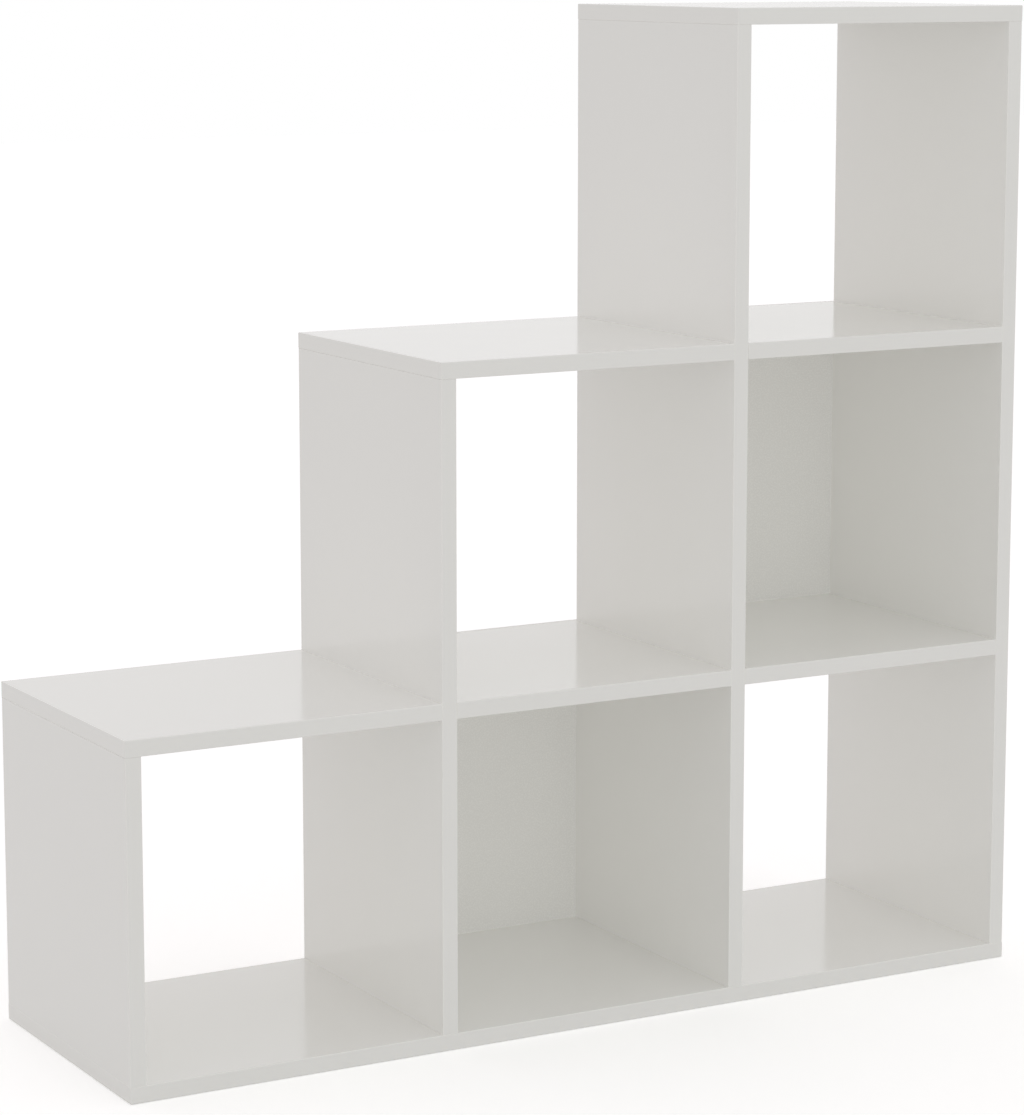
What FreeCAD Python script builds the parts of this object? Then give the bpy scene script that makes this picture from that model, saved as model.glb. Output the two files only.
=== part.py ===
import FreeCAD, Part
import math
import os
import Sketcher
from FreeCAD import Placement, Rotation, Vector

# A staircase bookshelf of white board: three columns of square bays, one, two and three bays high.
# X runs along the front to the right, Y to the rear and Z up. The origin is under the middle of the part.

DRIVING_SIZES = (
    ("bay_width", 304, "clear width of a bay"),
    ("bay_height", 304, "clear height of a bay"),
    ("board_depth", 300, "front edge to rear edge of a board, bands included"),
    ("board_thickness", 16, "thickness of the boards"),
    ("band_thickness", 1, "edge band glued to a board's exposed edges"),
    ("edge_radius", 0.8, "rounding of a band's outer edges"),
    ("back_thickness", 5, "thickness of the two backs"),
    ("back_gap", 1, "gap between two backs that share a board's rear edge"),
    ("bolt_row", 50, "row of bolts and screws, from the front and from the rear edge"),
    ("dowel_spacing", 32, "row of dowels, from the row of bolts"),
    ("dowel_diameter", 8, "wooden dowel"),
    ("dowel_in_face", 10, "dowel's reach into a board's face"),
    ("dowel_in_end", 20, "dowel's reach into a board's end"),
    ("dowel_chamfer", 1, "chamfer on a dowel's ends"),
    ("dowel_clearance", 0.1, "dowel to hole, on the radius"),
    ("glue_room", 1, "room for glue at the bottom of a dowel hole"),
    ("cam_diameter", 15, "cam disc"),
    ("cam_skirt", 1.25, "how far a cam disc reaches past the bolt's head"),
    ("cam_setback", 34, "cam centre from the board's end"),
    ("cam_clearance", 0.1, "cam disc to bore, on the radius and at the bottom"),
    ("head_clearance", 0.1, "cam bolt's head to the cam's chamber"),
    ("cross_length", 7, "length of the cross slots in a cam disc"),
    ("cross_width", 1.6, "width of the cross slots in a cam disc"),
    ("cross_floor", 2, "solid left between the cross slots and the chamber"),
    ("bolt_diameter", 7, "shank of a cam bolt"),
    ("bolt_clearance", 0.5, "cam bolt's shank to hole, on the radius"),
    ("bolt_neck", 4, "neck of a cam bolt"),
    ("bolt_head", 6.5, "head of a cam bolt"),
    ("bolt_head_length", 3, "length of a cam bolt's head"),
    ("neck_clearance", 0.4, "cam bolt's neck to the cam's slot, on the radius"),
    ("bolt_thread", 5, "screwed end of a cam bolt"),
    ("bolt_thread_length", 11, "reach of the screwed end into a board's face"),
    ("screw_clearance", 0.1, "screws to their holes, on the radius and at the tip"),
    ("base_screw_length", 50, "screw through the bottom panel"),
    ("base_screw_head", 10, "head of a base screw"),
    ("base_screw_shank", 7, "shank of a base screw, through the bottom panel"),
    ("base_screw_core", 5, "core of a base screw, in the upright"),
    ("socket_width", 4, "corner to corner of the hexagon socket in a base screw"),
    ("socket_depth", 2.5, "depth of the hexagon socket in a base screw"),
    ("back_screw_length", 20, "screw through a back"),
    ("back_screw_head", 5, "head of a back screw"),
    ("back_screw_shank", 2.5, "shank of a back screw, through the back"),
    ("back_screw_core", 1.8, "core of a back screw, in the board's edge"),
    ("back_cross_length", 2.6, "length of the cross slots in a back screw"),
    ("back_cross_width", 0.6, "width of the cross slots in a back screw"),
    ("back_cross_depth", 0.8, "depth of the cross slots in a back screw"),
    ("back_screw_margin", 40, "outer screws along a back's top and foot, from the bay's sides"),
)

# Screws are countersunk at a right angle, so a head is as deep as its rim is wide.
COUNTERSINK_ANGLE = 90
FULL_TURN = 360
SOCKET_SIDES = 6
# The largest rounding of a band, as a share of its thickness.
ROUNDING_LIMIT = 0.9
# Lengths in mm and volumes in mm3 below which two things count as the same.
SAME_PLACE = 1e-6
SAME_VOLUME = 1e-3

document = FreeCAD.newDocument("staircase_bookshelf")
sheet = document.addObject("Spreadsheet::Sheet", "Sizes")
for row, (alias, number, meaning) in enumerate(DRIVING_SIZES, start=1):
    sheet.set(f"A{row}", meaning)
    sheet.set(f"B{row}", str(number))
    sheet.setAlias(f"B{row}", alias)
document.recompute()

# Expressions that several pieces share, all in terms of the driving sizes.
thickness = "Sizes.board_thickness"
half_thickness = "Sizes.board_thickness / 2"
depth = "Sizes.board_depth"
band = "Sizes.band_thickness"
bay_width = "Sizes.bay_width"
bay_height = "Sizes.bay_height"
column_pitch = "(Sizes.bay_width + Sizes.board_thickness)"
level_pitch = "(Sizes.bay_height + Sizes.board_thickness)"
overall_width = "(3 * Sizes.bay_width + 4 * Sizes.board_thickness)"
left_face = f"(-{overall_width} / 2)"
front_face = "(-(Sizes.board_depth + Sizes.back_thickness) / 2)"
rear_face = "((Sizes.board_depth - Sizes.back_thickness) / 2)"

bolt_rows = ("Sizes.bolt_row", "(Sizes.board_depth - Sizes.bolt_row)")
dowel_setback = "(Sizes.bolt_row + Sizes.dowel_spacing)"
dowel_rows = (dowel_setback, f"(Sizes.board_depth - {dowel_setback})")
all_rows = bolt_rows + dowel_rows

dowel_hole = "Sizes.dowel_diameter + 2 * Sizes.dowel_clearance"
dowel_hole_in_face = "Sizes.dowel_in_face + Sizes.glue_room"
dowel_hole_in_end = "Sizes.dowel_in_end + Sizes.glue_room"
cam_bore = "Sizes.cam_diameter + 2 * Sizes.cam_clearance"
cam_depth = "(Sizes.board_thickness / 2 + Sizes.bolt_head / 2 + Sizes.cam_skirt)"
cam_bore_depth = f"{cam_depth} + Sizes.cam_clearance"
bolt_hole = "Sizes.bolt_diameter + 2 * Sizes.bolt_clearance"
thread_hole = "Sizes.bolt_thread + 2 * Sizes.screw_clearance"
thread_hole_depth = "Sizes.bolt_thread_length + Sizes.screw_clearance"
base_core_hole = "Sizes.base_screw_core + 2 * Sizes.screw_clearance"
base_core_depth = "Sizes.base_screw_length - Sizes.board_thickness + Sizes.screw_clearance"
back_core_hole = "Sizes.back_screw_core + 2 * Sizes.screw_clearance"
back_core_depth = "Sizes.back_screw_length - Sizes.back_thickness + Sizes.screw_clearance"

# A back reaches nearly to the middle of the boards at its sides and foot,
# and over the whole edge of the board above.
back_overlap = "((Sizes.board_thickness - Sizes.back_gap) / 2)"
half_overlap = f"({back_overlap} / 2)"
back_width = f"(Sizes.bay_width + 2 * {back_overlap})"
back_height = f"(Sizes.bay_height + Sizes.board_thickness + {back_overlap})"
back_margin = "Sizes.back_screw_margin"
across_bay = (back_margin, "Sizes.bay_width / 2", f"(Sizes.bay_width - {back_margin})")
up_bay = ("Sizes.bay_height / 3", "2 * Sizes.bay_height / 3")

# Uprights are counted from 0 at the left side, and levels of boards from 0 at the bottom panel.
# The dividers carry boards on both sides at every level below their own top.
dividers = range(1, 3)
shelf_levels = range(1, 3)
through_joints = [(number, level) for number in dividers for level in range(1, number + 1)]


def upright_x(number):
    """Left face of an upright."""
    return f"({left_face} + {number} * {column_pitch})"


def level_z(number):
    """Underside of the boards of a level."""
    return f"({number} * {level_pitch})"


def number_of(expression):
    return float(sheet.evalExpression(expression))


def make_body(label, corner=(None, None, None)):
    """A body whose corner lies at three expressions, each None where it stays at zero."""
    body = document.addObject("PartDesign::Body", label)
    body.Label = label
    for axis, expression in zip("xyz", corner):
        if expression:
            body.setExpression(f"Placement.Base.{axis}", expression)
    return body


def add_sketch(body, name, plane, offset=None):
    """A sketch on one of the body's own planes, moved along the plane's normal by an expression."""
    sketch = body.newObject("Sketcher::SketchObject", name)
    support = next(item for item in body.Origin.OriginFeatures if item.Role == plane)
    sketch.AttachmentSupport = [(support, "")]
    sketch.MapMode = "FlatFace"
    if offset:
        sketch.setExpression("AttachmentOffset.Base.z", offset)
    return sketch


def constrain(sketch, kind, where, expression):
    """A dimension that follows an expression."""
    constraint = Sketcher.Constraint(kind, *where, number_of(expression))
    index = sketch.addConstraint(constraint)
    sketch.setExpression(f"Constraints[{index}]", expression)


def pin_point(sketch, geometry, point, across, up):
    """Fix a point of the sketch at two expressions, each None where the point lies on that axis."""
    for kind, axis, expression in (("DistanceX", -2, across), ("DistanceY", -1, up)):
        if expression:
            constrain(sketch, kind, (-1, 1, geometry, point), expression)
        else:
            sketch.addConstraint(Sketcher.Constraint("PointOnObject", geometry, point, axis))


def draw_outline(sketch, corners):
    """A closed outline of straight lines through corners given as pairs of expressions."""
    spots = [Vector(*(number_of(part) if part else 0 for part in corner), 0) for corner in corners]
    count = len(corners)
    first = sketch.GeometryCount
    for index in range(count):
        sketch.addGeometry(Part.LineSegment(spots[index], spots[(index + 1) % count]))
    for index in range(count):
        following = first + (index + 1) % count
        sketch.addConstraint(Sketcher.Constraint("Coincident", first + index, 2, following, 1))
    for index, corner in enumerate(corners):
        pin_point(sketch, first + index, 1, *corner)


def draw_rectangle(sketch, left, low, right, high):
    draw_outline(sketch, ((left, low), (right, low), (right, high), (left, high)))


def draw_circle(sketch, across, up, diameter):
    """A circle whose centre and diameter are expressions."""
    centre = Vector(number_of(across) if across else 0, number_of(up) if up else 0, 0)
    circle = sketch.addGeometry(Part.Circle(centre, Vector(0, 0, 1), number_of(diameter) / 2))
    constrain(sketch, "Diameter", (circle,), diameter)
    pin_point(sketch, circle, 3, across, up)


def add_pad(body, sketch, length):
    pad = body.newObject("PartDesign::Pad", f"{sketch.Label}_pad")
    pad.Profile = sketch
    pad.setExpression("Length", length)
    document.recompute()
    return pad


def add_pocket(body, sketch, length, along_normal):
    """Cut a sketch into the body, along its plane's normal or against it."""
    pocket = body.newObject("PartDesign::Pocket", f"{sketch.Label}_pocket")
    pocket.Profile = sketch
    pocket.Reversed = along_normal
    pocket.setExpression("Length", length)
    document.recompute()


class Board:
    """A board and its edge bands, with the lower left front corner at its own origin."""

    def __init__(self, label, corner, extents, banded_ends="", upright=False):
        self.label = label
        self.corner = corner
        self.extents = extents
        broad_axis = "x" if upright else "z"
        self.broad_faces = ((broad_axis, "low"), (broad_axis, "high"))
        banded_sides = [("x", end) for end in banded_ends.split()]
        self.narrow_faces = [("y", "low"), ("y", "high")] + banded_sides
        width = extents[0]
        inner_left = band if "low" in banded_ends else None
        inner_right = f"({width} - {band})" if "high" in banded_ends else width
        inner_rear = f"({depth} - {band})"
        self.core = self.slab(label, inner_left, band, inner_right, inner_rear)
        front = self.strip("front", None, None, width, band)
        self.rear_band = self.strip("rear", None, inner_rear, width, depth)
        self.bands = [front, self.rear_band]
        if "low" in banded_ends:
            self.bands.append(self.strip("left", None, band, band, inner_rear))
        if "high" in banded_ends:
            self.bands.append(self.strip("right", inner_right, band, width, inner_rear))

    def slab(self, label, left, front, right, rear):
        body = make_body(label, self.corner)
        sketch = add_sketch(body, f"{label}_outline", "XY_Plane")
        draw_rectangle(sketch, left, front, right, rear)
        add_pad(body, sketch, self.extents[2])
        return body

    def strip(self, side, *outline):
        """One edge band, rounded along the edges where it meets the board's broad faces."""
        body = self.slab(f"{self.label}_{side}_band", *outline)
        pad = body.Tip
        fillet = body.newObject("PartDesign::Fillet", f"{body.Label}_rounding")
        edges = enumerate(pad.Shape.Edges, start=1)
        fillet.Base = (pad, [f"Edge{number}" for number, edge in edges if self.is_rounded(edge)])
        fillet.setExpression("Radius", f"min(Sizes.edge_radius; {ROUNDING_LIMIT} * {band})")
        document.recompute()
        return body

    def lies_in(self, edge, face):
        """Whether an edge of a pad lies in one of the board's outer faces."""
        axis, end = face
        place = "xyz".index(axis)
        level = number_of(self.extents[place]) if end == "high" else 0
        return all(abs(vertex.Point[place] - level) < SAME_PLACE for vertex in edge.Vertexes)

    def is_rounded(self, edge):
        in_broad = any(self.lies_in(edge, face) for face in self.broad_faces)
        in_narrow = any(self.lies_in(edge, face) for face in self.narrow_faces)
        return in_broad and in_narrow

    def drill(self, face, spots, diameter, length, bodies=None):
        """Straight holes from an outer face of the board; spots are pairs of expressions in that face."""
        width, rear, height = self.extents
        plane, offset, along_normal = {
            "underside": ("XY_Plane", None, True),
            "top": ("XY_Plane", height, False),
            "left": ("YZ_Plane", None, True),
            "right": ("YZ_Plane", width, False),
            "rear": ("XZ_Plane", f"-({rear})", True),
        }[face]
        for body in bodies or [self.core]:
            sketch = add_sketch(body, f"{body.Label}_{face}_holes", plane, offset)
            for across, up in spots:
                draw_circle(sketch, across, up, diameter)
            add_pocket(body, sketch, length, along_normal)

    def drill_rear_edge(self, spots):
        """Pilot holes for a back's screws, through the rear band into the board."""
        self.drill("rear", spots, back_core_hole, back_core_depth, [self.core, self.rear_band])


# The finished sub-parts, each written to a file named after its label.
parts = []


def finish_board(board):
    parts.append(board.core)
    parts.extend(board.bands)


def drill_upright_foot(board):
    """Holes in an upright's lower end for the base screws and dowels."""
    board.drill("underside", [(half_thickness, y) for y in bolt_rows], base_core_hole, base_core_depth)
    board.drill("underside", [(half_thickness, y) for y in dowel_rows], dowel_hole, dowel_hole_in_end)


def drill_upright_head(board):
    """Holes in an upright's upper end for the bolts and dowels of the top on it, and bores for the cams."""
    height = board.extents[2]
    board.drill("top", [(half_thickness, y) for y in bolt_rows], bolt_hole, "Sizes.cam_setback")
    board.drill("top", [(half_thickness, y) for y in dowel_rows], dowel_hole, dowel_hole_in_end)
    cams = [(y, f"({height} - Sizes.cam_setback)") for y in bolt_rows]
    board.drill("right", cams, cam_bore, cam_bore_depth)


def drill_through_level(board, level):
    """Holes through a divider for the bolts and dowels of the boards on both its sides."""
    middle = f"({level_z(level)} - {half_thickness})"
    board.drill("right", [(y, middle) for y in bolt_rows], bolt_hole, thickness)
    board.drill("right", [(y, middle) for y in dowel_rows], dowel_hole, thickness)


def drill_board_end(board, end):
    """Holes in the end of a shelf or a top that butts against an upright, and bores for the cams below."""
    width = board.extents[0]
    board.drill(end, [(y, half_thickness) for y in bolt_rows], bolt_hole, "Sizes.cam_setback")
    board.drill(end, [(y, half_thickness) for y in dowel_rows], dowel_hole, dowel_hole_in_end)
    cam_x = "Sizes.cam_setback" if end == "left" else f"({width} - Sizes.cam_setback)"
    board.drill("underside", [(cam_x, y) for y in bolt_rows], cam_bore, cam_bore_depth)


def drill_seat_on_upright(board, across):
    """Holes in a top's underside for the bolts and dowels of the upright that it lies on."""
    board.drill("underside", [(across, y) for y in bolt_rows], thread_hole, thread_hole_depth)
    board.drill("underside", [(across, y) for y in dowel_rows], dowel_hole, dowel_hole_in_face)


# Bottom panel: lies under the four uprights, with countersunk screw holes and blind dowel holes.
bottom_extents = (overall_width, depth, thickness)
bottom_panel = Board("bottom_panel", (left_face, front_face, None), bottom_extents, "low high")
upright_middles = [f"({number} * {column_pitch} + {half_thickness})" for number in range(4)]
dowel_spots = [(x, y) for x in upright_middles for y in dowel_rows]
bottom_panel.drill("top", dowel_spots, dowel_hole, dowel_hole_in_face)
foot_edge = f"({thickness} - {half_overlap})"
bottom_panel.drill_rear_edge([(f"({column_pitch} + {thickness} + {x})", foot_edge) for x in across_bay])


def countersink(body, plane, offset, spots, shank, head):
    """Countersunk holes right through a body, from the face that an offset plane lies in."""
    sketch = add_sketch(body, f"{body.Label}_screw_holes", plane, offset)
    for across, up in spots:
        draw_circle(sketch, across, up, shank)
    document.recompute()
    hole = body.newObject("PartDesign::Hole", f"{body.Label}_countersinks")
    hole.Profile = sketch
    document.recompute()
    hole.Threaded = False
    hole.DepthType = "ThroughAll"
    hole.DrillPoint = "Flat"
    hole.HoleCutType = "Countersink"
    hole.HoleCutCustomValues = True
    hole.HoleCutCountersinkAngle = COUNTERSINK_ANGLE
    hole.Reversed = True
    hole.setExpression("Diameter", shank)
    hole.setExpression("HoleCutDiameter", head)
    document.recompute()


base_shank_hole = "Sizes.base_screw_shank + 2 * Sizes.screw_clearance"
base_head_hole = "Sizes.base_screw_head + 2 * Sizes.screw_clearance"
base_spots = [(x, y) for x in upright_middles for y in bolt_rows]
countersink(bottom_panel.core, "XY_Plane", None, base_spots, base_shank_hole, base_head_hole)
finish_board(bottom_panel)

# Left side: one bay high.
left_corner = (upright_x(0), front_face, thickness)
left_side = Board("left_side", left_corner, (thickness, depth, bay_height), upright=True)
drill_upright_foot(left_side)
drill_upright_head(left_side)
finish_board(left_side)

# First divider: two bays high, with boards on both sides at the first level.
divider_height = f"(2 * {level_pitch} - {thickness})"
first_corner = (upright_x(1), front_face, thickness)
first_divider = Board("first_divider", first_corner, (thickness, depth, divider_height), upright=True)
drill_upright_foot(first_divider)
drill_upright_head(first_divider)
drill_through_level(first_divider, 1)
right_half = f"({thickness} - {half_overlap})"
first_divider.drill_rear_edge([(right_half, z) for z in up_bay])
finish_board(first_divider)

# Second divider: three bays high, with boards on both sides at the first and second levels.
tall_height = f"(3 * {level_pitch} - {thickness})"
second_corner = (upright_x(2), front_face, thickness)
second_divider = Board("second_divider", second_corner, (thickness, depth, tall_height), upright=True)
drill_upright_foot(second_divider)
drill_upright_head(second_divider)
drill_through_level(second_divider, 1)
drill_through_level(second_divider, 2)
second_divider.drill_rear_edge([(half_overlap, z) for z in up_bay])
second_divider.drill_rear_edge([(right_half, f"({level_pitch} + {z})") for z in up_bay])
finish_board(second_divider)

# Right side: three bays high, drilled on its inner face only, with dowels alone under the top.
right_corner = (upright_x(3), front_face, thickness)
right_side = Board("right_side", right_corner, (thickness, depth, tall_height), upright=True)
drill_upright_foot(right_side)
right_side.drill("top", [(half_thickness, y) for y in all_rows], dowel_hole, dowel_hole_in_end)
for level in shelf_levels:
    middle = f"({level_z(level)} - {half_thickness})"
    right_side.drill("left", [(y, middle) for y in bolt_rows], thread_hole, thread_hole_depth)
    right_side.drill("left", [(y, middle) for y in dowel_rows], dowel_hole, dowel_hole_in_face)
right_side.drill_rear_edge([(half_overlap, f"({level_pitch} + {z})") for z in up_bay])
finish_board(right_side)

# First and second step tops: each lies on the upright at its left and butts against the next one.
for number, label in enumerate(("first_step_top", "second_step_top")):
    corner = (upright_x(number), front_face, level_z(number + 1))
    step_top = Board(label, corner, (column_pitch, depth, thickness), "low")
    drill_seat_on_upright(step_top, half_thickness)
    drill_board_end(step_top, "right")
    finish_board(step_top)

# Third step top: lies on the second divider and on the right side.
third_width = f"({column_pitch} + {thickness})"
third_corner = (upright_x(2), front_face, level_z(3))
third_top = Board("third_step_top", third_corner, (third_width, depth, thickness), "low high")
drill_seat_on_upright(third_top, half_thickness)
right_middle = f"({third_width} - {half_thickness})"
third_top.drill("underside", [(right_middle, y) for y in all_rows], dowel_hole, dowel_hole_in_face)
finish_board(third_top)

# Shelves: each hangs between two uprights. The height of the rear screws depends on which back meets it.
for label, column, level, screw_z in (
    ("centre_shelf", 1, 1, half_thickness),
    ("right_lower_shelf", 2, 1, foot_edge),
    ("right_upper_shelf", 2, 2, half_thickness),
):
    corner = (f"({upright_x(column)} + {thickness})", front_face, level_z(level))
    shelf = Board(label, corner, (bay_width, depth, thickness))
    drill_board_end(shelf, "left")
    drill_board_end(shelf, "right")
    shelf.drill_rear_edge([(x, screw_z) for x in across_bay])
    finish_board(shelf)

# Backs: thin square boards over the rear edges, flush with the top of the shelf above their bay.
back_shank_hole = "Sizes.back_screw_shank + 2 * Sizes.screw_clearance"
back_head_hole = "Sizes.back_screw_head + 2 * Sizes.screw_clearance"
foot_spots = [(f"({back_overlap} + {x})", half_overlap) for x in across_bay]
top_spots = [(f"({back_overlap} + {x})", f"({back_height} - {half_thickness})") for x in across_bay]
back_sides = (half_overlap, f"({back_width} - {half_overlap})")
side_spots = [(x, f"({back_overlap} + {z})") for x in back_sides for z in up_bay]
back_spots = foot_spots + top_spots + side_spots
backs = (("centre_back_panel", 1, 0), ("right_back_panel", 2, 1))
back_corners = [
    (
        f"({upright_x(column)} + {thickness} - {back_overlap})",
        rear_face,
        f"({level_z(level)} + {thickness} - {back_overlap})",
    )
    for _, column, level in backs
]
for (label, _, _), corner in zip(backs, back_corners):
    back = make_body(label, corner)
    outline = add_sketch(back, f"{label}_outline", "XZ_Plane")
    draw_rectangle(outline, None, None, back_width, back_height)
    add_pad(back, outline, "Sizes.back_thickness").Reversed = True
    document.recompute()
    outer_face = "-Sizes.back_thickness"
    countersink(back, "XZ_Plane", outer_face, back_spots, back_shank_hole, back_head_hole)
    parts.append(back)


def turn(label, points):
    """A turned piece: an outline of (radius, height) expressions, spun about the upright axis."""
    body = make_body(label)
    sketch = add_sketch(body, f"{label}_profile", "XZ_Plane")
    draw_outline(sketch, points)
    spin = body.newObject("PartDesign::Revolution", f"{label}_spin")
    spin.Profile = sketch
    spin.ReferenceAxis = (sketch, ["V_Axis"])
    spin.Angle = FULL_TURN
    document.recompute()
    return body


def cut_cross(body, length, width, cut_depth):
    """A cross slot at the origin, for a screwdriver."""
    for name, across, up in (("slot", length, width), ("cross_slot", width, length)):
        sketch = add_sketch(body, f"{body.Label}_{name}", "XY_Plane")
        half_across = number_of(across) / 2
        half_up = number_of(up) / 2
        corners = [Vector(x * half_across, y * half_up, 0) for x, y in ((-1, -1), (1, -1), (1, 1), (-1, 1))]
        for index in range(4):
            sketch.addGeometry(Part.LineSegment(corners[index], corners[(index + 1) % 4]))
        for index in range(4):
            sketch.addConstraint(Sketcher.Constraint("Coincident", index, 2, (index + 1) % 4, 1))
        for index, direction in enumerate(("Horizontal", "Vertical", "Horizontal", "Vertical")):
            sketch.addConstraint(Sketcher.Constraint(direction, index))
        sketch.addConstraint(Sketcher.Constraint("Symmetric", 0, 1, 1, 2, -1, 1))
        constrain(sketch, "DistanceX", (0, 1, 0, 2), across)
        constrain(sketch, "DistanceY", (1, 1, 1, 2), up)
        add_pocket(body, sketch, cut_depth, True)


def place_copies(label, piece, places):
    """A group of like fasteners: links to one piece, each at three expressions and a rotation."""
    links = []
    for x, y, z, rotation in places:
        link = document.addObject("App::Link", f"{label}_link")
        link.LinkedObject = piece
        link.Placement = Placement(Vector(), rotation)
        for axis, expression in (("x", x), ("y", y), ("z", z)):
            link.setExpression(f"Placement.Base.{axis}", expression)
        links.append(link)
    group = document.addObject("Part::Compound", label)
    group.Label = label
    group.Links = links
    document.recompute()
    parts.append(group)


def row_y(row):
    return f"({front_face} + {row})"


upwards = Rotation()
to_right = Rotation(Vector(0, 1, 0), 90)
upright_centres = [f"({upright_x(number)} + {half_thickness})" for number in range(4)]
level_middles = [f"({level_z(number)} + {half_thickness})" for number in range(4)]

# Base screws: countersunk, with a hexagon socket, from the underside up into the four uprights.
head_drop = "(Sizes.base_screw_head - Sizes.base_screw_shank) / 2"
base_screw = turn("base_screw", (
    (None, None),
    ("Sizes.base_screw_head / 2", None),
    ("Sizes.base_screw_shank / 2", head_drop),
    ("Sizes.base_screw_shank / 2", thickness),
    ("Sizes.base_screw_core / 2", thickness),
    ("Sizes.base_screw_core / 2", "Sizes.base_screw_length"),
    (None, "Sizes.base_screw_length"),
))
socket = add_sketch(base_screw, "base_screw_socket", "XY_Plane")
socket_radius = number_of("Sizes.socket_width / 2")
corner_angles = [math.tau * index / SOCKET_SIDES for index in range(SOCKET_SIDES)]
hexagon = [Vector(math.cos(angle), math.sin(angle), 0) * socket_radius for angle in corner_angles]
for index in range(SOCKET_SIDES):
    socket.addGeometry(Part.LineSegment(hexagon[index], hexagon[(index + 1) % SOCKET_SIDES]))
socket_circle = socket.addGeometry(Part.Circle(Vector(), Vector(0, 0, 1), socket_radius), True)
socket.addConstraint(Sketcher.Constraint("Coincident", socket_circle, 3, -1, 1))
constrain(socket, "Diameter", (socket_circle,), "Sizes.socket_width")
for index in range(SOCKET_SIDES):
    socket.addConstraint(Sketcher.Constraint("Coincident", index, 2, (index + 1) % SOCKET_SIDES, 1))
    socket.addConstraint(Sketcher.Constraint("PointOnObject", index, 1, socket_circle))
for index in range(1, SOCKET_SIDES):
    socket.addConstraint(Sketcher.Constraint("Equal", 0, index))
socket.addConstraint(Sketcher.Constraint("PointOnObject", 0, 1, -1))
add_pocket(base_screw, socket, "Sizes.socket_depth", True)
screw_feet = [(x, row_y(y), "0", upwards) for x in upright_centres for y in bolt_rows]
place_copies("base_screws", base_screw, screw_feet)


# Dowels: chamfered at both ends. Short ones join an end to a face, long ones pass through a divider.
def turn_dowel(label, length):
    radius = "Sizes.dowel_diameter / 2"
    tip = "(Sizes.dowel_diameter / 2 - Sizes.dowel_chamfer)"
    return turn(label, (
        (None, None),
        (tip, None),
        (radius, "Sizes.dowel_chamfer"),
        (radius, f"({length} - Sizes.dowel_chamfer)"),
        (tip, length),
        (None, length),
    ))


short_length = "(Sizes.dowel_in_face + Sizes.dowel_in_end)"
short_dowel = turn_dowel("short_dowel", short_length)
short_places = []
foot_z = f"({thickness} - Sizes.dowel_in_face)"
short_places += [(x, row_y(y), foot_z, upwards) for x in upright_centres for y in dowel_rows]
for number in range(3):
    seat_z = f"({level_z(number + 1)} - Sizes.dowel_in_end)"
    short_places += [(upright_centres[number], row_y(y), seat_z, upwards) for y in dowel_rows]
right_seat_z = f"({level_z(3)} - Sizes.dowel_in_end)"
short_places += [(upright_centres[3], row_y(y), right_seat_z, upwards) for y in all_rows]
inner_x = f"({upright_x(3)} - Sizes.dowel_in_end)"
for level in shelf_levels:
    short_places += [(inner_x, row_y(y), level_middles[level], to_right) for y in dowel_rows]
place_copies("short_dowels", short_dowel, short_places)

long_length = f"({thickness} + 2 * Sizes.dowel_in_end)"
long_dowel = turn_dowel("long_dowel", long_length)
long_places = [
    (f"({upright_x(number)} - Sizes.dowel_in_end)", row_y(y), level_middles[level], to_right)
    for number, level in through_joints
    for y in dowel_rows
]
place_copies("long_dowels", long_dowel, long_places)

# Cam bolts: a screwed end, a shank, and a headed neck that the cam draws in.
# Zero is the face that they screw into.
cam_rim = "(Sizes.cam_setback - Sizes.cam_diameter / 2)"
head_low = "(Sizes.cam_setback - Sizes.bolt_head_length / 2)"
head_high = "(Sizes.cam_setback + Sizes.bolt_head_length / 2)"
thread_end = "-Sizes.bolt_thread_length"
cam_bolt = turn("cam_bolt", (
    (None, thread_end),
    ("Sizes.bolt_thread / 2", thread_end),
    ("Sizes.bolt_thread / 2", None),
    ("Sizes.bolt_diameter / 2", None),
    ("Sizes.bolt_diameter / 2", f"({cam_rim} - Sizes.cam_clearance)"),
    ("Sizes.bolt_neck / 2", f"({cam_rim} - Sizes.cam_clearance)"),
    ("Sizes.bolt_neck / 2", head_low),
    ("Sizes.bolt_head / 2", head_low),
    ("Sizes.bolt_head / 2", head_high),
    (None, head_high),
))
downwards = Rotation(Vector(1, 0, 0), 180)
to_left = Rotation(Vector(0, 1, 0), -90)
bolt_places = []
for number in range(3):
    seat_z = level_z(number + 1)
    bolt_places += [(upright_centres[number], row_y(y), seat_z, downwards) for y in bolt_rows]
for level in shelf_levels:
    bolt_places += [(upright_x(3), row_y(y), level_middles[level], to_left) for y in bolt_rows]
place_copies("cam_bolts", cam_bolt, bolt_places)

# Double cam bolts: the same head at both ends of one shank that passes through a divider.
upper_profile = [
    ("Sizes.bolt_diameter / 2", f"({half_thickness} + {cam_rim} - Sizes.cam_clearance)"),
    ("Sizes.bolt_neck / 2", f"({half_thickness} + {cam_rim} - Sizes.cam_clearance)"),
    ("Sizes.bolt_neck / 2", f"({half_thickness} + {head_low})"),
    ("Sizes.bolt_head / 2", f"({half_thickness} + {head_low})"),
    ("Sizes.bolt_head / 2", f"({half_thickness} + {head_high})"),
    (None, f"({half_thickness} + {head_high})"),
]
lower_profile = [(radius, f"-{height}") for radius, height in reversed(upper_profile)]
double_bolt = turn("double_cam_bolt", lower_profile + upper_profile)
double_places = [
    (upright_centres[number], row_y(y), level_middles[level], to_right)
    for number, level in through_joints
    for y in bolt_rows
]
place_copies("double_cam_bolts", double_bolt, double_places)

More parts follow.
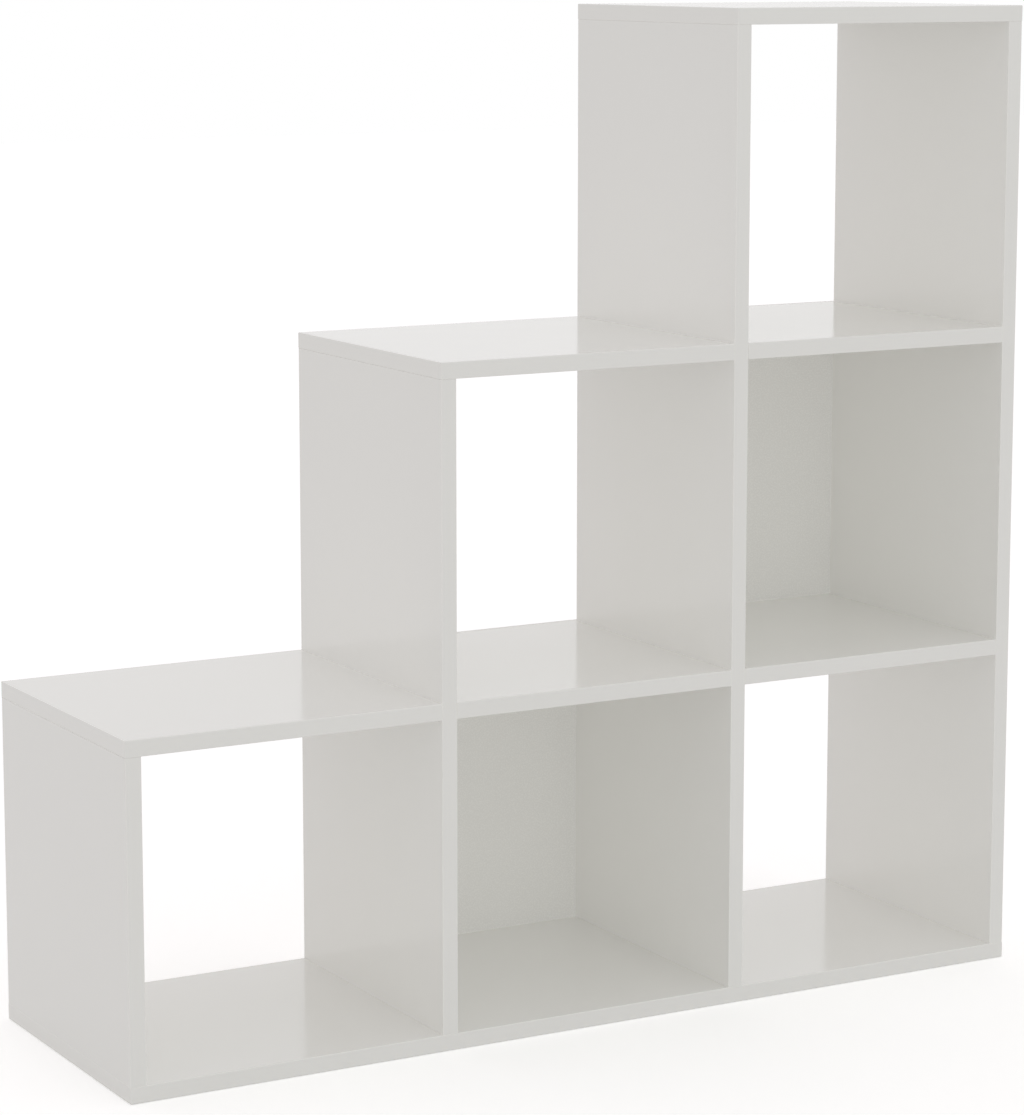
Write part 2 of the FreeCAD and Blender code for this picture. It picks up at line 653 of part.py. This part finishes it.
# Cam discs: hollow from the inner end, with a slot for the bolt's neck and a cross for the screwdriver.
# The disc's outer face is at zero, its inner end is above, and the bolt enters along +X.
cam_disc = make_body("cam_disc")
disc_outline = add_sketch(cam_disc, "cam_disc_outline", "XY_Plane")
draw_circle(disc_outline, None, None, "Sizes.cam_diameter")
add_pad(cam_disc, disc_outline, cam_depth)
chamber = add_sketch(cam_disc, "cam_disc_chamber", "XY_Plane", cam_depth)
head_across = "sqrt(Sizes.bolt_head ^ 2 + Sizes.bolt_head_length ^ 2)"
draw_circle(chamber, None, None, f"{head_across} + 2 * Sizes.head_clearance")
cam_roof = "(Sizes.board_thickness / 2 - Sizes.bolt_head / 2 - Sizes.head_clearance)"
add_pocket(cam_disc, chamber, f"{cam_depth} - {cam_roof}", False)
neck_slot = add_sketch(cam_disc, "cam_disc_neck_slot", "YZ_Plane")
draw_circle(neck_slot, None, half_thickness, "Sizes.bolt_neck + 2 * Sizes.neck_clearance")
add_pocket(cam_disc, neck_slot, "Sizes.cam_diameter", True)
cut_cross(cam_disc, "Sizes.cross_length", "Sizes.cross_width", f"{cam_roof} - Sizes.cross_floor")

bolt_from_left = Rotation(Vector(0, 0, 1), 180)
into_upright = Rotation(Vector(0, 0, 1), Vector(0, 1, 0), Vector(-1, 0, 0), "XZY")
disc_places = []
for number in range(3):
    cam_z = f"({level_z(number + 1)} - Sizes.cam_setback)"
    right_face = f"({upright_x(number)} + {thickness})"
    disc_places += [(right_face, row_y(y), cam_z, into_upright) for y in bolt_rows]
for number, level in through_joints:
    left_cam = f"({upright_x(number)} - Sizes.cam_setback)"
    right_cam = f"({upright_x(number)} + {thickness} + Sizes.cam_setback)"
    disc_places += [(left_cam, row_y(y), level_z(level), upwards) for y in bolt_rows]
    disc_places += [(right_cam, row_y(y), level_z(level), bolt_from_left) for y in bolt_rows]
last_cam = f"({upright_x(3)} - Sizes.cam_setback)"
for level in shelf_levels:
    disc_places += [(last_cam, row_y(y), level_z(level), upwards) for y in bolt_rows]
place_copies("cam_discs", cam_disc, disc_places)

# Back screws: small and countersunk, with a cross slot, through each back into the boards' rear edges.
back_head_drop = "(Sizes.back_screw_head - Sizes.back_screw_shank) / 2"
back_screw = turn("back_screw", (
    (None, None),
    ("Sizes.back_screw_head / 2", None),
    ("Sizes.back_screw_shank / 2", back_head_drop),
    ("Sizes.back_screw_shank / 2", "Sizes.back_thickness"),
    ("Sizes.back_screw_core / 2", "Sizes.back_thickness"),
    ("Sizes.back_screw_core / 2", "Sizes.back_screw_length"),
    (None, "Sizes.back_screw_length"),
))
cut_cross(back_screw, "Sizes.back_cross_length", "Sizes.back_cross_width", "Sizes.back_cross_depth")
to_front = Rotation(Vector(1, 0, 0), 90)
outer_y = f"({rear_face} + Sizes.back_thickness)"
screw_places = [
    (f"({left} + {across})", outer_y, f"({foot} + {up})", to_front)
    for left, _, foot in back_corners
    for across, up in back_spots
]
place_copies("back_screws", back_screw, screw_places)

# Every feature must have worked, and every cut must have taken something away, before anything is written.
document.recompute()
for item in document.Objects:
    if {"Invalid", "Error"} & set(item.State):
        raise RuntimeError(f"{item.Label} failed: {item.State}")
    if item.TypeId in ("PartDesign::Pocket", "PartDesign::Hole"):
        if item.Shape.Volume > item.BaseFeature.Shape.Volume - SAME_VOLUME:
            raise RuntimeError(f"{item.Label} cut nothing")
for item in parts:
    if item.Shape.isNull() or not item.Shape.isValid():
        raise RuntimeError(f"{item.Label} has no valid shape")

os.makedirs("parts", exist_ok=True)
for item in parts:
    item.Shape.exportStep(f"parts/{item.Label}.step")
    print(item.Label, len(item.Shape.Solids), "solids", round(item.Shape.Volume), "mm3")
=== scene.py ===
import math

import bmesh
import bpy
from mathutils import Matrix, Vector


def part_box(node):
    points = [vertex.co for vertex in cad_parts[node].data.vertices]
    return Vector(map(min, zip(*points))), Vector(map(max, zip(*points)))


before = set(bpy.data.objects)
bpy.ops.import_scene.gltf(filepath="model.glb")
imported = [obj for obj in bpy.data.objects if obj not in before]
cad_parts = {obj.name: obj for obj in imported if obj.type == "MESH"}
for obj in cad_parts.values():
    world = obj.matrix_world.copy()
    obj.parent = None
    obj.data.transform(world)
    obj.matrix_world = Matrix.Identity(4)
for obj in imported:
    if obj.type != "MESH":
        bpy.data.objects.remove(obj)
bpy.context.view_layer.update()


# Boards: a bottom panel, four uprights, three step tops and three shelves.
# Each is sawn from chipboard that is pressed between two skins of white melamine resin,
# smooth and satin, and is drilled for the fittings, so bare chips show only inside the bores.
class Shade:
    """A socket of a finish: arithmetic on it adds Math nodes, and add() brings in any other node."""

    def __init__(self, tree, socket=None):
        self.tree = tree
        self.socket = socket

    def add(self, kind, settings, sockets, output=0):
        made = self.tree.nodes.new("ShaderNode" + kind)
        for name, setting in settings.items():
            setattr(made, name, setting)
        for key, value in sockets.items():
            if isinstance(value, Shade):
                self.tree.links.new(value.socket, made.inputs[key])
            else:
                made.inputs[key].default_value = value
        return Shade(self.tree, made.outputs[output] if made.outputs else None)

    def maths(self, operation, first, second):
        return self.add("Math", {"operation": operation}, {0: first, 1: second})

    def __add__(self, other):
        return self.maths("ADD", self, other)

    def __sub__(self, other):
        return self.maths("SUBTRACT", self, other)

    def __rsub__(self, other):
        return self.maths("SUBTRACT", other, self)

    def __mul__(self, other):
        return self.maths("MULTIPLY", self, other)

    def __gt__(self, other):
        return self.maths("GREATER_THAN", self, other)

    __radd__ = __add__
    __rmul__ = __mul__


def new_finish(name):
    finish = bpy.data.materials.new(name)
    finish.use_nodes = True
    finish.node_tree.nodes.clear()
    return finish, Shade(finish.node_tree)


def blend_colours(start, share, first, second):
    return start.add("Mix", {"data_type": "RGBA"}, {0: share, 6: first, 7: second}, output=2)


def speckle(start, place, grains_per_metre, detail):
    return start.add("TexNoise", {}, {"Vector": place, "Scale": grains_per_metre, "Detail": detail})


relief_strength = 0.5


def close_finish(start, surface, relief, relief_depth):
    bump = {"Strength": relief_strength, "Distance": relief_depth, "Height": relief}
    surface["Normal"] = start.add("Bump", {}, bump)
    skin = start.add("BsdfPrincipled", {}, surface)
    start.add("OutputMaterial", {}, {"Surface": skin})


def dress(node, finish):
    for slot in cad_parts[node].material_slots:
        slot.material = finish


melamine_skin = 0.0002
melamine_light = (0.825, 0.818, 0.79, 1)
melamine_dark = (0.815, 0.807, 0.78, 1)
melamine_roughness = 0.11
melamine_roughness_range = 0.04
chip_pale = (0.52, 0.39, 0.24, 1)
chip_dark = (0.30, 0.20, 0.11, 1)
chip_extra_roughness = 0.6


def white_board(board):
    low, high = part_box(board)
    finish, start = new_finish(board + "_melamine")
    place = start.add("TexCoord", {}, {}, output="Object")
    above = start.add("VectorMath", {"operation": "SUBTRACT"}, {0: place, 1: low})
    below = start.add("VectorMath", {"operation": "SUBTRACT"}, {0: high, 1: place})
    nearest = start.add("VectorMath", {"operation": "MINIMUM"}, {0: above, 1: below})
    depths = [start.add("SeparateXYZ", {}, {"Vector": nearest}, output=axis) for axis in range(3)]
    depth = start.maths("MINIMUM", start.maths("MINIMUM", depths[0], depths[1]), depths[2])
    in_core = depth > melamine_skin
    cloud = speckle(start, place, grains_per_metre=7, detail=2)
    pearl = speckle(start, place, grains_per_metre=900, detail=1)
    chips = speckle(start, place, grains_per_metre=420, detail=4)
    skin_colour = blend_colours(start, cloud, melamine_dark, melamine_light)
    chip_colour = blend_colours(start, chips, chip_dark, chip_pale)
    skin_roughness = melamine_roughness + melamine_roughness_range * cloud
    close_finish(
        start,
        {
            "Base Color": blend_colours(start, in_core, skin_colour, chip_colour),
            "Roughness": skin_roughness + chip_extra_roughness * in_core,
        },
        relief=pearl + chips * in_core,
        relief_depth=0.00001,
    )
    dress(board, finish)


boards = [
    "bottom_panel",
    "left_side",
    "first_divider",
    "second_divider",
    "right_side",
    "first_step_top",
    "second_step_top",
    "third_step_top",
    "centre_shelf",
    "right_lower_shelf",
    "right_upper_shelf",
]
for board in boards:
    white_board(board)


# Edge bands: strips of white plastic, glued over the sawn edges that show.
# They are drawn through a die, which leaves faint lines along their length,
# and once they are on, their corners are scraped round.
band_light = (0.825, 0.817, 0.789, 1)
band_dark = (0.81, 0.802, 0.774, 1)
band_roughness = 0.15
band_roughness_range = 0.05
die_lines_across = 1500
die_lines_along = 4


def drawn_band(axis, name):
    finish, start = new_finish(name)
    place = start.add("TexCoord", {}, {}, output="Object")
    stretch = [die_lines_across] * 3
    stretch[axis] = die_lines_along
    stretched = start.add("VectorMath", {"operation": "MULTIPLY"}, {0: place, 1: stretch})
    lines = speckle(start, stretched, grains_per_metre=1, detail=1)
    cloud = speckle(start, place, grains_per_metre=12, detail=2)
    close_finish(
        start,
        {
            "Base Color": blend_colours(start, cloud, band_dark, band_light),
            "Roughness": band_roughness + band_roughness_range * lines,
        },
        relief=lines,
        relief_depth=0.00001,
    )
    return finish


band_finishes = [
    drawn_band(0, "band_drawn_sideways"),
    drawn_band(1, "band_drawn_to_the_rear"),
    drawn_band(2, "band_drawn_upwards"),
]
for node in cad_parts:
    if node.endswith("_band"):
        low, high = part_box(node)
        size = high - low
        drawn_along = max(range(3), key=lambda axis: size[axis])
        dress(node, band_finishes[drawn_along])


# Dowels: beech pegs, chamfered at both ends and glued into the boards.
# The short ones join a board's end to a face, and the long ones pass through a divider.
# They lie sideways or stand upright, so the grain that runs along them is fine only from front to rear.
beech_pale = (0.66, 0.46, 0.28, 1)
beech_dark = (0.48, 0.29, 0.15, 1)
beech_roughness = 0.55
beech_roughness_range = 0.2
grain_along = 60
grain_across = 900


def beech_peg(node):
    finish, start = new_finish(node + "_beech")
    place = start.add("TexCoord", {}, {}, output="Object")
    stretch = (grain_along, grain_across, grain_along)
    stretched = start.add("VectorMath", {"operation": "MULTIPLY"}, {0: place, 1: stretch})
    grain = speckle(start, stretched, grains_per_metre=1, detail=3)
    pores = speckle(start, place, grains_per_metre=1600, detail=2)
    close_finish(
        start,
        {
            "Base Color": blend_colours(start, grain, beech_dark, beech_pale),
            "Roughness": beech_roughness + beech_roughness_range * pores,
        },
        relief=grain + pores,
        relief_depth=0.00005,
    )
    dress(node, finish)


beech_peg("short_dowels")
beech_peg("long_dowels")


# Cam discs: die-cast zinc drums with a cross slot, pushed into bores in the boards' undersides
# and right-hand faces. A turn of the screwdriver draws the head of a bolt in and pulls the joint tight.
zinc_bright = (0.62, 0.62, 0.63, 1)
zinc_dull = (0.45, 0.45, 0.47, 1)
zinc_roughness = 0.32
zinc_roughness_range = 0.22
zinc, start = new_finish("cam_disc_zinc")
place = start.add("TexCoord", {}, {}, output="Object")
bloom = speckle(start, place, grains_per_metre=500, detail=3)
cast_skin = speckle(start, place, grains_per_metre=2500, detail=2)
close_finish(
    start,
    {
        "Base Color": blend_colours(start, bloom, zinc_dull, zinc_bright),
        "Metallic": 1,
        "Roughness": zinc_roughness + zinc_roughness_range * bloom,
    },
    relief=cast_skin,
    relief_depth=0.00004,
)
dress("cam_discs", zinc)


# Bolts and screws: steel, turned and plated bright against rust.
# The bolts stand in the boards' faces, or pass through a divider, and the cams hold them by the head.
# The base screws come up through the bottom panel into the four uprights.
plate_bright = (0.74, 0.73, 0.70, 1)
plate_dull = (0.58, 0.57, 0.55, 1)
plate_roughness = 0.2
plate_roughness_range = 0.18


def plated_steel(node):
    finish, start = new_finish(node + "_plating")
    place = start.add("TexCoord", {}, {}, output="Object")
    bloom = speckle(start, place, grains_per_metre=350, detail=3)
    tool_marks = speckle(start, place, grains_per_metre=3500, detail=1)
    close_finish(
        start,
        {
            "Base Color": blend_colours(start, bloom, plate_dull, plate_bright),
            "Metallic": 1,
            "Roughness": plate_roughness + plate_roughness_range * bloom,
        },
        relief=tool_marks,
        relief_depth=0.00002,
    )
    dress(node, finish)


plated_steel("cam_bolts")
plated_steel("double_cam_bolts")
plated_steel("base_screws")


# Backs: two thin panels of fibreboard, lacquered white on both sides.
# They close one bay each and stiffen the shelf: they lie flat on the rear edges of the boards round it,
# where small plated screws hold them.
lacquer_light = (0.80, 0.796, 0.768, 1)
lacquer_dark = (0.785, 0.78, 0.752, 1)
lacquer_roughness = 0.22
lacquer_roughness_range = 0.1


def lacquered_back(node):
    finish, start = new_finish(node + "_lacquer")
    place = start.add("TexCoord", {}, {}, output="Object")
    fibres = speckle(start, place, grains_per_metre=650, detail=2)
    cloud = speckle(start, place, grains_per_metre=9, detail=2)
    close_finish(
        start,
        {
            "Base Color": blend_colours(start, cloud, lacquer_dark, lacquer_light),
            "Roughness": lacquer_roughness + lacquer_roughness_range * fibres,
        },
        relief=fibres,
        relief_depth=0.00001,
    )
    dress(node, finish)


lacquered_back("centre_back_panel")
lacquered_back("right_back_panel")
plated_steel("back_screws")


# Floor and light: a plain white floor under an even white sky, as in a photographer's light tent.
# Both show white to the camera and nearly so in reflections, and the floor keeps the shelf's shadow.
# Six weak lamps, one from each side and without shadows, lift the insides of the bays.
white_in_reflections = 0.85


def background_share(start):
    seen = start.add("LightPath", {}, {}, output="Is Camera Ray")
    mirrored = start.add("LightPath", {}, {}, output="Is Glossy Ray")
    through = start.add("LightPath", {}, {}, output="Is Transmission Ray")
    return start.maths("MINIMUM", seen + white_in_reflections * mirrored + through, 1)


sky_light = 0.695
sky_front_tint = (0.985, 1, 0.99, 1)
sky_rear_tint = (1.04, 0.99, 1.005, 1)
sky_shown = (1, 1, 1, 1)
sky = bpy.data.worlds.new("white_sky")
sky.use_nodes = True
sky.node_tree.nodes.clear()
start = Shade(sky.node_tree)
towards = start.add("TexCoord", {}, {}, output="Generated")
front_to_rear = start.add("SeparateXYZ", {}, {"Vector": towards}, output="Y")
rear_share = (1 + front_to_rear) * 0.5
tint = blend_colours(start, rear_share, sky_front_tint, sky_rear_tint)
shown = background_share(start)
glow = start.add(
    "Background",
    {},
    {
        "Color": blend_colours(start, shown, tint, sky_shown),
        "Strength": shown + (1 - shown) * sky_light,
    },
)
start.add("OutputWorld", {}, {"Surface": glow})
bpy.context.scene.world = sky

floor_half_width = 15
floor_gap = 0.0003
floor_lit = (0.66, 0.66, 0.66, 1)
floor_shown = (1.3, 1.3, 1.3, 1)
floor_mesh = bpy.data.meshes.new("floor")
plane = bmesh.new()
bmesh.ops.create_grid(plane, x_segments=1, y_segments=1, size=floor_half_width)
bmesh.ops.translate(plane, verts=plane.verts, vec=(0, 0, -floor_gap))
plane.to_mesh(floor_mesh)
plane.free()
floor = bpy.data.objects.new("floor", floor_mesh)
bpy.context.scene.collection.objects.link(floor)
floor_paint, start = new_finish("floor_paint")
floor_colour = blend_colours(start, background_share(start), floor_lit, floor_shown)
matt = start.add("BsdfDiffuse", {}, {"Color": floor_colour})
clear = start.add("BsdfTransparent", {}, {})
from_below = start.add("NewGeometry", {}, {}, output="Backfacing")
one_sided = start.add("MixShader", {}, {0: from_below, 1: matt, 2: clear})
start.add("OutputMaterial", {}, {"Surface": one_sided})
floor_mesh.materials.append(floor_paint)

sun_for_full_white = math.pi
fill_lamps = {
    "left": ((-1, 0, 0), 0.11),
    "front": ((0, -1, 0), 0.165),
    "right": ((1, 0, 0), 0.20),
    "rear": ((0, 1, 0), 0.19),
    "above": ((0, 0, 1), 0.10),
    "below": ((0, 0, -1), 0.11),
}
for side, (direction, level) in fill_lamps.items():
    lamp_data = bpy.data.lights.new("fill_" + side, "SUN")
    lamp_data.energy = level * sun_for_full_white
    lamp_data.use_shadow = False
    lamp = bpy.data.objects.new("fill_" + side, lamp_data)
    lamp.visible_glossy = False
    lamp.rotation_mode = "QUATERNION"
    lamp.rotation_quaternion = Vector(direction).to_track_quat("Z", "Y")
    bpy.context.scene.collection.objects.link(lamp)


# Camera: a long lens to the front left of the shelf, a little higher than its highest top.
# It is turned to the right and tipped down, so that the tops just show,
# and a slight shift sets the shelf at its height in the picture.
camera_place = (-1.691, -3.001, 1.030)
turned_right = math.radians(29.285)
tipped_down = math.radians(8.857)
camera_data = bpy.data.cameras.new("camera")
camera_data.lens = 114.3
camera_data.sensor_width = 36
camera_data.shift_y = -0.05
camera_data.clip_end = 100
camera = bpy.data.objects.new("camera", camera_data)
camera.location = camera_place
camera.rotation_euler = (math.pi / 2 - tipped_down, 0, -turned_right)
bpy.context.scene.collection.objects.link(camera)
bpy.context.scene.camera = camera
bpy.context.scene.view_settings.view_transform = "Standard"
